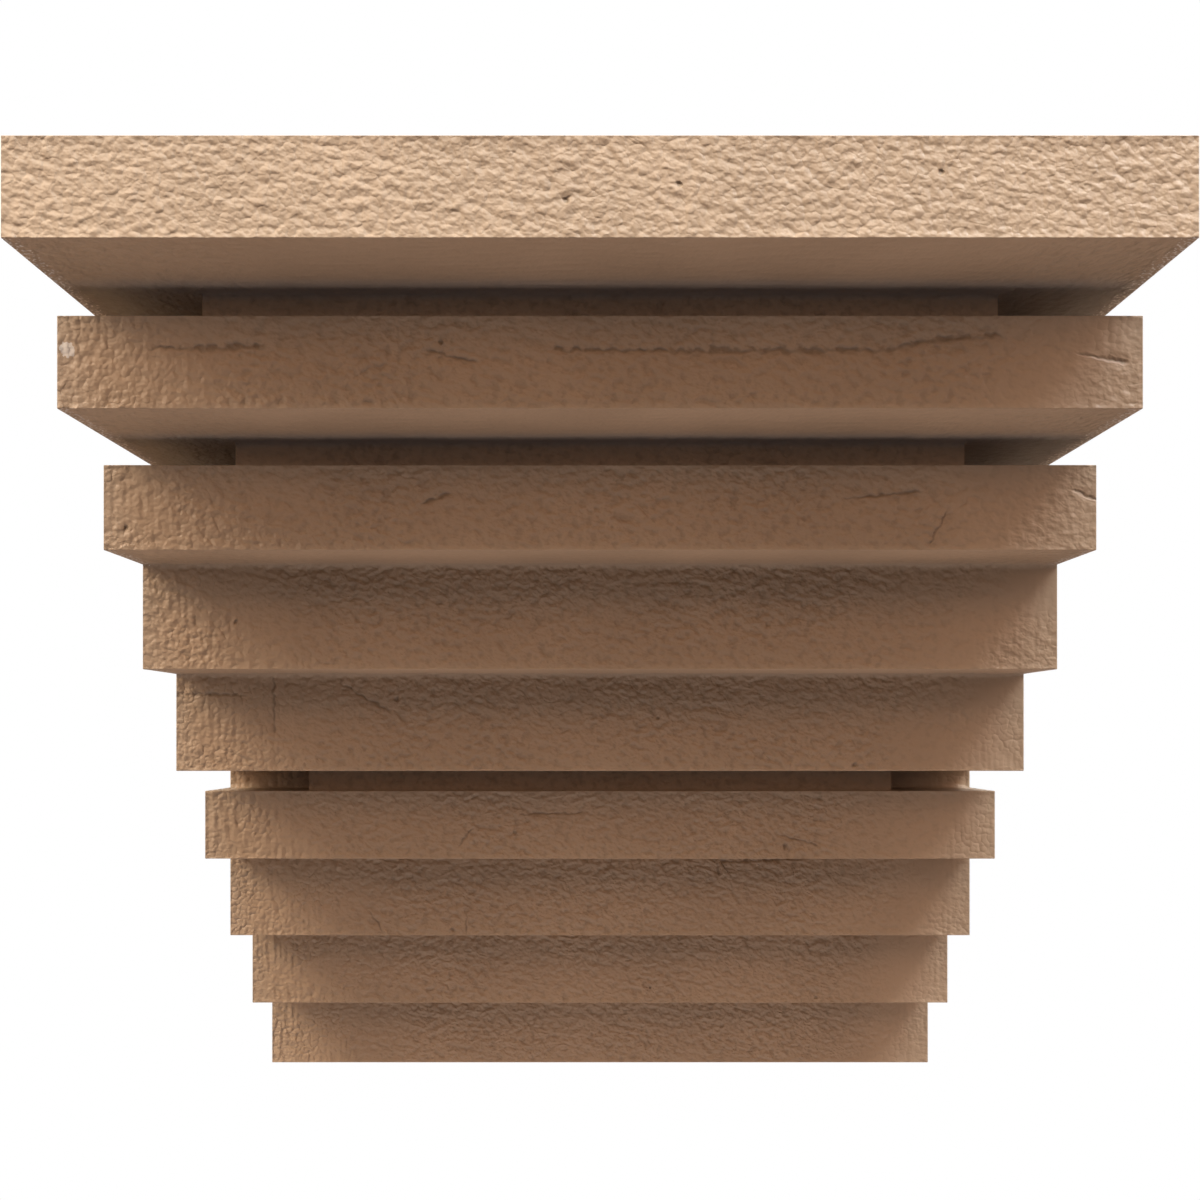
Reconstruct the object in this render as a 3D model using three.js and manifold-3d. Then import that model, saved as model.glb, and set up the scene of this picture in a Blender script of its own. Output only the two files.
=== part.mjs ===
// Stepped corbel, moulded in one piece of rigid urethane foam.
// Millimetres, +Z up. The back face lies against the wall in the plane y = 0,
// the front looks along -Y, and the origin is the middle of the back face.
//
// Nine tiers of one width step back towards the wall from top to bottom. A
// groove runs round the front and both cheeks under three of them. In each
// groove a narrower neck joins the tiers, and behind the neck the grooves end
// at one common shoulder.

import * as THREE from 'three';
import Module from 'manifold-3d';
import { mergeVertices } from 'three/addons/utils/BufferGeometryUtils.js';

// Driving dimensions
const width = 304.8; // cheek to cheek, the same for every tier
const projection = 304.8; // the top tier's front, measured from the wall
const tierCount = 9;
const setBack = 30.48; // a tier's front, behind the front of the tier above
const boardHeight = 26.2; // a tier that has a groove below it
const grooveHeight = 8.625; // the open height of a groove
const groovedTiers = [0, 1, 4]; // the tiers with a groove below, from the top
const neckSetBack = 38.1; // a neck's front, behind the front of the tier above
const neckSideInset = 38.1; // a neck's side, inside the cheek
const shoulderTier = 6; // the tier whose front the grooves' inner ends line up with
const cutterOverrun = 5; // how far a cutter runs out past the front and the cheeks

// Places that follow from the driving dimensions
const pitch = boardHeight + grooveHeight; // from one tier's underside to the next
const height = tierCount * pitch - grooveHeight;
const topZ = height / 2;

/** Distance from the wall to a tier's front face. */
function tierDepth(tier) {
  return projection - tier * setBack;
}

/** Height of a tier's underside. */
function undersideZ(tier) {
  return topZ - boardHeight - tier * pitch;
}

/** Turns a manifold solid into geometry with flat faces. */
function toGeometry(solid) {
  const mesh = solid.getMesh();
  const geometry = new THREE.BufferGeometry();
  geometry.setAttribute('position', new THREE.BufferAttribute(new Float32Array(mesh.vertProperties), 3));
  geometry.setIndex(new THREE.BufferAttribute(new Uint32Array(mesh.triVerts), 1));
  const flat = geometry.toNonIndexed();
  flat.computeVertexNormals();
  return flat;
}

/** Turns closed geometry into a manifold solid. */
function toSolid(wasm, geometry) {
  const bare = geometry.clone();
  bare.deleteAttribute('normal');
  bare.deleteAttribute('uv');
  const merged = mergeVertices(bare);
  return new wasm.Manifold(
    new wasm.Mesh({
      numProp: 3,
      vertProperties: new Float32Array(merged.attributes.position.array),
      triVerts: new Uint32Array(merged.index.array),
    }),
  );
}

/**
 * The stair of tiers, before the grooves: its side outline, drawn with the
 * distance from the wall across and the height up, carried from cheek to cheek.
 */
function stairGeometry() {
  const outline = new THREE.Shape();
  outline.moveTo(0, topZ);
  outline.lineTo(0, undersideZ(tierCount - 1));
  for (let tier = tierCount - 1; tier >= 0; tier--) {
    outline.lineTo(tierDepth(tier), undersideZ(tier));
    outline.lineTo(tierDepth(tier), tier > 0 ? undersideZ(tier - 1) : topZ);
  }
  outline.closePath();
  const geometry = new THREE.ExtrudeGeometry(outline, { depth: width, bevelEnabled: false });
  const outOfWall = new THREE.Vector3(0, -1, 0);
  const up = new THREE.Vector3(0, 0, 1);
  const alongWidth = new THREE.Vector3().crossVectors(outOfWall, up);
  geometry.applyMatrix4(new THREE.Matrix4().makeBasis(outOfWall, up, alongWidth));
  geometry.translate(width / 2, 0, 0);
  return geometry;
}

/**
 * What is taken away under one tier: a U in plan, open towards the wall, that
 * leaves the neck between its arms and stops at the shoulder.
 */
function grooveGeometry(tier) {
  const shoulder = tierDepth(shoulderTier);
  const neckFront = tierDepth(tier) - neckSetBack;
  const neckHalf = width / 2 - neckSideInset;
  const outerHalf = width / 2 + cutterOverrun;
  const outerFront = tierDepth(tier) + cutterOverrun;
  const plan = new THREE.Shape();
  plan.moveTo(-outerHalf, shoulder);
  plan.lineTo(-neckHalf, shoulder);
  plan.lineTo(-neckHalf, neckFront);
  plan.lineTo(neckHalf, neckFront);
  plan.lineTo(neckHalf, shoulder);
  plan.lineTo(outerHalf, shoulder);
  plan.lineTo(outerHalf, outerFront);
  plan.lineTo(-outerHalf, outerFront);
  plan.closePath();
  const geometry = new THREE.ExtrudeGeometry(plan, { depth: grooveHeight, bevelEnabled: false });
  geometry.rotateX(Math.PI); // the plan's depth turns to -Y, and its thickness hangs down
  geometry.translate(0, 0, undersideZ(tier));
  return geometry;
}

/** The whole casting: the stair with every groove cut into it. */
function corbelSolid(wasm) {
  let solid = toSolid(wasm, stairGeometry());
  for (const tier of groovedTiers) {
    solid = solid.subtract(toSolid(wasm, grooveGeometry(tier)));
  }
  return solid;
}

const wasm = await Module();
wasm.setup();

const primedTan = new THREE.MeshStandardMaterial({ color: 0xc7ab8f, roughness: 0.62, metalness: 0 });

const corbel = new THREE.Mesh(toGeometry(corbelSolid(wasm)), primedTan);
corbel.name = 'corbel';

const part = new THREE.Group();
part.add(corbel);

export default part;
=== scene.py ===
"""Dresses the stepped urethane corbel and lights it as the photograph does.

Metres, +Z up, the wall in the plane y = 0 and the front looking along -Y, as the
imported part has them. One piece stands for the whole moulding: a closed mesh of
the same form, which holds the coarse part of the moulded relief. Its material
holds the fine part.

HAIR is less than any real gap in metres. NodeInput is what a node's input takes:
a number, a vector or colour, or another node's output.
"""

from __future__ import annotations

import itertools
import logging
import math
from dataclasses import dataclass
from enum import Enum, IntEnum
from typing import Union

import bpy
import numpy as np
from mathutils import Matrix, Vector
from mathutils.geometry import delaunay_2d_cdt


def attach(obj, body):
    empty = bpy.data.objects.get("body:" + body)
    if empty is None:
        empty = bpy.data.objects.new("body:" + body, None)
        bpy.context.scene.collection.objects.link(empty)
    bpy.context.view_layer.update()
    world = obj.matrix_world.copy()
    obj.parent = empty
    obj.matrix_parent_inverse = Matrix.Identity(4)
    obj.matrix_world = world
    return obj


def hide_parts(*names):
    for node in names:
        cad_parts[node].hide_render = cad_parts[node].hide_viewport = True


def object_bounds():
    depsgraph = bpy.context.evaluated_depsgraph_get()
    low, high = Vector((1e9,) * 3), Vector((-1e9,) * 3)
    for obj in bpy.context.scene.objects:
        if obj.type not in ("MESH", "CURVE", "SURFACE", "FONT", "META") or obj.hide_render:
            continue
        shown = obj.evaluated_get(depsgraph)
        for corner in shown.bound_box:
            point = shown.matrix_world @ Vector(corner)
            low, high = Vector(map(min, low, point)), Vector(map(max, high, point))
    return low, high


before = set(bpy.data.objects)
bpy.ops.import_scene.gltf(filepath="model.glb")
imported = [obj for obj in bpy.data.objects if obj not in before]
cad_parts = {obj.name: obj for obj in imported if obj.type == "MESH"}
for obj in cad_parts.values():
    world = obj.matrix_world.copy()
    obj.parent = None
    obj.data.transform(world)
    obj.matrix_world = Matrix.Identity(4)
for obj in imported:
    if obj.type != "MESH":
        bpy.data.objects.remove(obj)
cad_low, cad_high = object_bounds()

BODY = "root"
NODE = "corbel"
SLOT = "primed_tan_urethane"
MM = 0.001
FLAT_MAP = "flat_sides"
HAIR = 1e-6
NOISE_MIDDLE = 0.5
NodeInput = Union[float, tuple[float, ...], bpy.types.NodeSocket]

log = logging.getLogger("corbel")


class Axis(IntEnum):
    """An axis of the corbel's frame, as an index into a point."""

    X = 0
    Y = 1
    Z = 2


@dataclass(frozen=True)
class CorbelSizes:
    """The corbel's sizes in metres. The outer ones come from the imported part.

    Attributes:
        low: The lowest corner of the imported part.
        high: Its highest corner.
        tier_count: How many tiers there are, counted from the top.
        set_back: How far each tier's front stands behind the one above.
        groove_height: The height of a groove.
        grooved_tiers: The tiers that have a groove below them.
        neck_set_back: How far a neck's front stands behind that of the tier above.
        neck_side_inset: How far a neck's sides stand inside the cheeks.
        shoulder_tier: The tier in whose front's plane the grooves end.
    """

    low: tuple[float, float, float]
    high: tuple[float, float, float]
    tier_count: int = 9
    set_back: float = 30.48 * MM
    groove_height: float = 8.625 * MM
    grooved_tiers: tuple[int, ...] = (0, 1, 4)
    neck_set_back: float = 38.1 * MM
    neck_side_inset: float = 38.1 * MM
    shoulder_tier: int = 6

    @property
    def half_width(self) -> float:
        """Distance from the middle to a cheek."""
        return self.high[Axis.X]

    @property
    def neck_half_width(self) -> float:
        """Distance from the middle to a neck's side."""
        return self.half_width - self.neck_side_inset

    @property
    def pitch(self) -> float:
        """Distance from one tier's underside to the next."""
        height = self.high[Axis.Z] - self.low[Axis.Z]
        return (height + self.groove_height) / self.tier_count

    def front(self, tier: int) -> float:
        """Place of a tier's front along Y: each is one set-back nearer the wall."""
        return self.low[Axis.Y] + tier * self.set_back

    def neck_front(self, tier: int) -> float:
        """Place along Y of the front of the neck below a grooved tier."""
        return self.front(tier) + self.neck_set_back

    def underside(self, tier: int) -> float:
        """Height of a tier's underside: the lowest one is the bottom, the others a pitch apart."""
        return self.low[Axis.Z] + (self.tier_count - 1 - tier) * self.pitch

    def groove_floor(self, tier: int) -> float:
        """Height of the floor of the groove below a grooved tier."""
        return self.underside(tier) - self.groove_height

    def top(self, tier: int) -> float:
        """Height of a tier's upper edge: the groove's floor, or the underside of the tier above."""
        if tier == 0:
            return self.high[Axis.Z]
        above = tier - 1
        return self.groove_floor(above) if above in self.grooved_tiers else self.underside(above)

    def on_front(self, tier: int, across: float, rise: float) -> np.ndarray:
        """Point of a tier's front, by its way from the middle and above the underside, all in mm."""
        return np.array([across, self.front(tier) / MM, self.underside(tier) / MM + rise])

    def holds(self, x: np.ndarray, y: np.ndarray, z: np.ndarray) -> np.ndarray:
        """Says which points are inside the moulding.

        A point is inside if it lies behind the front of the tier at its height, or, at a groove's
        height, behind the shoulder or inside the neck.

        Args:
            x: Places along the width.
            y: Places along the depth.
            z: Heights.

        Returns:
            True for each point inside, in the shape that the three arrays broadcast to.
        """
        inside = np.zeros(np.broadcast_shapes(x.shape, y.shape, z.shape), bool)
        for tier in range(self.tier_count):
            band = (z > self.underside(tier)) & (z < self.top(tier))
            inside |= band & (y > self.front(tier))
        for tier in self.grooved_tiers:
            band = (z < self.underside(tier)) & (z > self.groove_floor(tier))
            neck = (np.abs(x) < self.neck_half_width) & (y > self.neck_front(tier))
            inside |= band & (neck | (y > self.front(self.shoulder_tier)))
        return inside


def distinct(stops: list[float]) -> np.ndarray:
    """Gives the places in order, each once, to a nanometre."""
    return np.unique(np.round(stops, decimals=9))


@dataclass(frozen=True)
class CellPlan:
    """How finely the moulding's surface is cut into cells, in metres.

    Attributes:
        sizes: The form.
        across: The longest cell along the width.
        deep: The longest cell along the depth.
        up_top_tier: The longest cell along the height of the top tier.
        up_other_tiers: The longest cell along the height of the others.
    """

    sizes: CorbelSizes
    across: float = 1.35 * MM
    deep: float = 4.4 * MM
    up_top_tier: float = 1.1 * MM
    up_other_tiers: float = 1.85 * MM

    @staticmethod
    def cut(stops: list[float], longest: np.ndarray | float) -> np.ndarray:
        """Cuts each stretch between two stops into the fewest equal cells within a length.

        Args:
            stops: The planes that the form has along one axis, in any order.
            longest: The longest cell allowed, for all stretches or for each.

        Returns:
            The planes between the cells, in order.
        """
        ends = distinct(stops)
        counts = np.ceil(np.diff(ends) / longest - HAIR).astype(int)
        runs = [np.linspace(a, b, n, endpoint=False) for a, b, n in zip(ends[:-1], ends[1:], counts)]
        return np.concatenate([*runs, ends[-1:]])

    def stops(self) -> tuple[list[float], list[float], list[float]]:
        """Gives the planes of the form along each axis."""
        s = self.sizes
        tiers = range(s.tier_count)
        x_stops = [-s.half_width, -s.neck_half_width, s.neck_half_width, s.half_width]
        y_stops = [s.high[Axis.Y], *map(s.front, tiers), *map(s.neck_front, s.grooved_tiers)]
        z_stops = [s.high[Axis.Z], *map(s.underside, tiers), *map(s.groove_floor, s.grooved_tiers)]
        return x_stops, y_stops, z_stops

    def planes(self) -> tuple[np.ndarray, np.ndarray, np.ndarray]:
        """Gives the planes between the fine cells along each axis."""
        x_stops, y_stops, z_stops = self.stops()
        rows = len(z_stops) - 1
        longest_up = np.full(rows, self.up_other_tiers)
        longest_up[-1] = self.up_top_tier
        x_planes = self.cut(x_stops, self.across)
        y_planes = self.cut(y_stops, self.deep)
        return x_planes, y_planes, self.cut(z_stops, longest_up)

    def coarse_planes(self) -> tuple[np.ndarray, np.ndarray, np.ndarray]:
        """Gives the planes of the form alone, with no cells between them."""
        return tuple(distinct(stops) for stops in self.stops())


@dataclass
class Skin:
    """The surface between solid and empty cells.

    Attributes:
        points: One row for each vertex, in metres.
        quads: Four vertices for each face, in the order that turns it outwards.
        outward: One row for each vertex, the sum of its faces' directions made one long.
        facing: The axis that each face looks along, from 1 to 3, less than 0 if it looks backwards.
    """

    points: np.ndarray
    quads: np.ndarray
    outward: np.ndarray
    facing: np.ndarray

    @classmethod
    def around(
        cls, sizes: CorbelSizes, planes: tuple[np.ndarray, ...], open_at: tuple[Axis, ...] = ()
    ) -> Skin:
        """Finds the skin of the moulding on a grid.

        A face lies on each wall between a cell whose middle is inside and one whose middle isn't.

        Args:
            sizes: The form.
            planes: The planes between the cells along each axis.
            open_at: Axes on whose high outer side the skin is left open.

        Returns:
            The skin, with merged vertices.
        """
        x, y, z = ((p[:-1] + p[1:]) / 2 for p in planes)
        solid = sizes.holds(x[:, None, None], y[None, :, None], z[None, None, :])
        padded = np.pad(solid, 1).astype(np.int8)
        corners, facings = [], []
        for axis in Axis:
            along, across = (axis + 1) % 3, (axis + 2) % 3
            turned = padded.transpose(axis, along, across)
            change = np.diff(turned, axis=0)[:, 1:-1, 1:-1]
            for direction in (1, -1):
                plane, j, k = np.nonzero(change == -direction)
                if direction > 0 and axis in open_at:
                    kept = plane < len(planes[axis]) - 1
                    plane, j, k = plane[kept], j[kept], k[kept]
                nodes = np.empty((len(plane), 4, 3), int)
                nodes[:, :, axis] = plane[:, None]
                nodes[:, :, along] = j[:, None] + np.array([0, 1, 1, 0])
                nodes[:, :, across] = k[:, None] + np.array([0, 0, 1, 1])
                corners.append(nodes[:, ::direction])
                facings.append(np.full(len(plane), (axis + 1) * direction))
        facing = np.concatenate(facings)
        nodes = np.concatenate(corners)
        shape = tuple(len(p) for p in planes)
        numbers = np.ravel_multi_index(tuple(np.moveaxis(nodes, -1, 0)), shape)
        used, quads = np.unique(numbers, return_inverse=True)
        quads = quads.reshape(-1, 4)
        grid = np.unravel_index(used, shape)
        points = np.stack([p[g] for p, g in zip(planes, grid)], axis=1)
        directions = np.eye(3)[np.abs(facing) - 1] * np.sign(facing)[:, None]
        outward = np.zeros_like(points)
        for corner in range(4):
            np.add.at(outward, quads[:, corner], directions)
        outward /= np.linalg.norm(outward, axis=1, keepdims=True)
        return cls(points, quads, outward, facing)

    def arrises(self) -> tuple[np.ndarray, np.ndarray]:
        """Gives the ends of each edge where two faces of different facing meet.

        Returns:
            The lower and the higher end of each, one row for each edge.
        """
        sides = np.stack([self.quads, np.roll(self.quads, -1, axis=1)], axis=-1).reshape(-1, 2)
        sides = np.sort(sides, axis=1)
        facing = np.repeat(self.facing, 4)
        _, number = np.unique(sides, axis=0, return_inverse=True)
        order = np.argsort(number.ravel(), kind="stable").reshape(-1, 2)
        turned = facing[order[:, 0]] != facing[order[:, 1]]
        ends = self.points[sides[order[turned, 0]]]
        return ends.min(axis=1), ends.max(axis=1)


@dataclass(frozen=True)
class Ramp:
    """A smooth change between two levels, as 3t squared less 2t cubed.

    Attributes:
        low: Where the change begins.
        high: Where it is done.
        start: The level at and below low.
        end: The level at and above high.
    """

    low: float
    high: float
    start: float = 0.0
    end: float = 1.0

    def at(self, value: np.ndarray) -> np.ndarray:
        """Gives the level at each value."""
        t = np.clip((value - self.low) / (self.high - self.low), 0.0, 1.0)
        return self.start + (self.end - self.start) * t * t * (3 - 2 * t)


def gradient_noise(points: np.ndarray, seed: int) -> np.ndarray:
    """Smooth noise with features about one unit across.

    At each corner of the unit cell around a point stands a random direction. Its dot product with
    the way from the corner to the point is blended over the cell by 6t^5 - 15t^4 + 10t^3.

    Args:
        points: One row for each point, in units of the feature size.
        seed: Picks the directions.

    Returns:
        Values from about -1 to 1, zero on average.
    """
    table_size = 256
    usual_peak = 0.625
    rng = np.random.default_rng(seed)
    order = rng.permutation(table_size)
    directions = rng.normal(size=(table_size, 3))
    directions /= np.linalg.norm(directions, axis=1, keepdims=True)
    cell = np.floor(points).astype(int)
    inner = points - cell
    blend = inner**3 * (inner * (inner * 6 - 15) + 10)
    total = np.zeros(len(points))
    for corner in itertools.product((0, 1), repeat=3):
        step = np.array(corner)
        x, y, z = (cell + step).T % table_size
        pick = order[(order[(order[x] + y) % table_size] + z) % table_size]
        weight = np.where(step == 1, blend, 1 - blend).prod(axis=1)
        total += weight * np.einsum("ij,ij->i", directions[pick], inner - step)
    return total / usual_peak


@dataclass(frozen=True)
class Patches:
    """Stronger and weaker patches: noise put through a ramp.

    Attributes:
        size: How wide a patch is, in the points' own unit.
        ramp: The strength that it makes of the noise.
        seed: Picks the noise.
    """

    size: float
    ramp: Ramp
    seed: int

    def at(self, points: np.ndarray) -> np.ndarray:
        """Gives the strength at each point."""
        return self.ramp.at(gradient_noise(points / self.size, self.seed))


def fall_off(gap: np.ndarray, reach: float) -> np.ndarray:
    """Gives e to the minus the square of the gap in reaches, so 1 where there is no gap."""
    return np.exp(-((gap / reach) ** 2))


@dataclass(frozen=True)
class Spot:
    """A small round mark in a tier's front, in millimetres.

    Attributes:
        tier: The tier, counted from the top.
        across: Its place from the middle, to the right.
        rise: Its height above the tier's underside.
        radius: Its radius.
    """

    tier: int
    across: float
    rise: float
    radius: float = 0.9

    def place(self, sizes: CorbelSizes) -> np.ndarray:
        """Gives its middle in millimetres in the corbel's frame."""
        return sizes.on_front(self.tier, self.across, self.rise)


@dataclass(frozen=True)
class Crack:
    """A ragged shallow split in a tier's front, in millimetres.

    Attributes:
        tier: The tier, counted from the top.
        start: Its left end, from the middle and above the tier's underside.
        end: Its right end, likewise.
        width: How wide it gapes.
    """

    tier: int
    start: tuple[float, float]
    end: tuple[float, float]
    width: float = 0.8

    def ends(self, sizes: CorbelSizes) -> tuple[np.ndarray, np.ndarray]:
        """Gives both ends in millimetres in the corbel's frame."""
        return sizes.on_front(self.tier, *self.start), sizes.on_front(self.tier, *self.end)


PIN_HOLES = (
    Spot(0, -8.4, 10.0, 1.2),
    Spot(0, 20.1, 13.8),
    Spot(0, 86.9, 16.9, 1.1),
    Spot(1, -44.6, 18.7),
    Spot(2, -145.7, 6.9, 1.0),
    Spot(3, -121.3, 15.7),
    Spot(4, -73.1, 25.9, 1.2),
    Spot(4, 20.7, 19.1),
    Spot(4, 91.8, 2.2, 1.1),
    Spot(5, 71.4, 4.5, 1.1),
    Spot(5, -32.8, 9.9),
    Spot(6, -60.9, 1.9, 1.1),
    Spot(7, 94.5, 2.5, 1.1),
    Spot(7, 22.2, 6.5, 0.7),
)
PALE_SPOTS = (Spot(1, -149.5, 16.8, 2.1),)
CRACKS = (
    Crack(1, (-126.0, 17.3), (-112.0, 17.0), 0.8),
    Crack(1, (-112.0, 17.0), (-95.0, 17.6), 1.3),
    Crack(1, (-48.0, 16.4), (-36.0, 13.2), 0.8),
    Crack(1, (-12.0, 16.6), (30.0, 16.4), 1.0),
    Crack(1, (30.0, 16.4), (80.0, 16.6), 1.5),
    Crack(1, (80.0, 16.6), (94.0, 19.4), 1.4),
    Crack(1, (94.0, 19.4), (112.0, 20.6), 1.2),
    Crack(1, (135.0, 15.8), (147.0, 13.2), 0.8),
    Crack(2, (-54.0, 14.6), (-47.0, 17.0), 0.8),
    Crack(2, (76.0, 16.0), (98.0, 18.0), 0.7),
    Crack(2, (102.0, 3.0), (106.0, 11.0), 0.7),
    Crack(2, (146.0, 18.4), (152.0, 15.6), 0.8),
    Crack(4, (-92.0, 31.0), (-84.0, 26.0), 0.8),
    Crack(4, (-84.0, 26.0), (-76.5, 22.0), 0.9),
    Crack(4, (-117.5, 33.0), (-117.0, 14.0), 0.8),
    Crack(4, (-151.0, 27.8), (-128.0, 27.2), 0.9),
    Crack(5, (-54.0, 5.4), (-50.0, 11.0), 0.8),
    Crack(5, (-30.0, 17.2), (-8.0, 17.6), 0.7),
    Crack(5, (70.0, 9.0), (84.0, 5.0), 0.7),
    Crack(6, (48.6, 30.4), (82.0, 31.4), 0.8),
    Crack(6, (48.8, 30.2), (48.8, 25.0), 0.7),
    Crack(6, (-94.5, 9.0), (-90.0, 2.5), 0.8),
    Crack(6, (-55.0, 2.0), (-55.2, 8.0), 0.7),
)


class Mark(Enum):
    """The attributes through which the mesh tells the material where things are."""

    ROUGH = "rough_share"
    KERF = "kerf_share"
    BEAD = "bead_share"
    GRAIN = "grain_share"
    # Painted shade on the grooves' roofs.
    GROOVE = "groove_share"
    # Painted highlight: glints along the undersides' rims, and the pale spot.
    SPECK = "speck_share"
    CRACK_OFFSET = "crack_offset"
    CRACK_REACH = "crack_reach"
    HOLE_OFFSET = "hole_offset"


@dataclass(frozen=True)
class CastRelief:
    """The part of the moulded relief that the mesh holds, as depths into the body.

    Attributes:
        lump_size: How far apart the rounded lumps stand.
        lump_depth: The depth of the creases between them.
        lump_stretch: How much longer a lump is than it is high.
        lump_seed: Picks the lumps.
        fine_share: The size and height of the finer lumps among them.
        fine_seed: Picks these.
        drift_spread: How far apart the lumps are pushed different ways, in lumps.
        drift_seeds: Pick the way that they are pushed along each axis.
        crease_closeness: How close to the line between two lumps its crease stays.
        crease_power: How steeply it falls in.
        swell_size: The width of the broad waves.
        swell_depth: Their depth.
        swell_seed: Picks them.
        patches: Where the creases are deeper and shallower.
        crack_depth: The depth of a crack.
        crack_spread: How far the hollow around a crack reaches, in crack widths.
        hole_depth: The depth of a pin hole.
        margin: How far from an arris the relief reaches its full depth.
    """

    sizes: CorbelSizes
    lump_size: float = 4.6 * MM
    lump_depth: float = 0.30 * MM
    lump_stretch: float = 1.5
    lump_seed: int = 1
    fine_share: float = 0.5
    fine_seed: int = 2
    drift_spread: float = 3.0
    drift_seeds: tuple[int, int, int] = (20, 21, 22)
    crease_closeness: float = 1.6
    crease_power: float = 1.5
    swell_size: float = 26.0 * MM
    swell_depth: float = 0.22 * MM
    swell_seed: int = 4
    patches: Patches = Patches(34.0 * MM, Ramp(-0.35, 0.35, 0.55, 1.0), 3)
    crack_depth: float = 0.35 * MM
    crack_spread: float = 1.4
    hole_depth: float = 0.5 * MM
    margin: float = 2.2 * MM

    def depth(self, points: np.ndarray) -> np.ndarray:
        """Works out how deep the relief is at each point.

        The lumps are 1 less the size of stretched noise, so that a crease runs where the noise is
        zero. The broad waves are half of 1 plus noise. Cracks and holes fall off with the distance
        from their line or middle.

        Args:
            points: One row for each point, in metres.

        Returns:
            A depth of 0 or more for each point, in metres.
        """
        stretch = np.array([1 / self.lump_stretch, 1 / self.lump_stretch, 1.0])
        drift_place = points / (self.drift_spread * self.lump_size)
        drift = np.stack([gradient_noise(drift_place, seed) for seed in self.drift_seeds], axis=1)
        moved = (points + drift * self.lump_size) * stretch
        noise = gradient_noise(moved / self.lump_size, self.lump_seed)
        noise += self.fine_share * gradient_noise(moved / (self.fine_share * self.lump_size), self.fine_seed)
        creases = (1 - np.clip(np.abs(noise) * self.crease_closeness, 0, 1)) ** self.crease_power
        wave = gradient_noise(points * stretch / self.swell_size, self.swell_seed)
        swell = (1 + np.clip(wave, -1, 1)) / 2
        depth = self.lump_depth * creases * self.patches.at(points) + self.swell_depth * swell
        for crack in CRACKS:
            start, end = (p * MM for p in crack.ends(self.sizes))
            along = np.clip((points - start) @ (end - start) / ((end - start) @ (end - start)), 0, 1)
            gap = np.linalg.norm(points - start - along[:, None] * (end - start), axis=1)
            depth += self.crack_depth * fall_off(gap, self.crack_spread * crack.width * MM)
        for hole in PIN_HOLES:
            gap = np.linalg.norm(points - hole.place(self.sizes) * MM, axis=1)
            depth += self.hole_depth * fall_off(gap, hole.radius * MM)
        return depth

    def fade(self, points: np.ndarray, low: np.ndarray, high: np.ndarray) -> np.ndarray:
        """Fades the relief out towards the arrises, which stay straight.

        Args:
            points: One row for each point, in metres.
            low: The lower end of each arris.
            high: The higher end of each arris.

        Returns:
            0 on an arris, and 1 further from it than the margin.
        """
        nearest = np.full(len(points), np.inf)
        for start, end in zip(low, high):
            apart = np.maximum(0, np.maximum(start - points, points - end))
            nearest = np.minimum(nearest, np.linalg.norm(apart, axis=1))
        return Ramp(0.0, self.margin).at(nearest)


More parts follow.
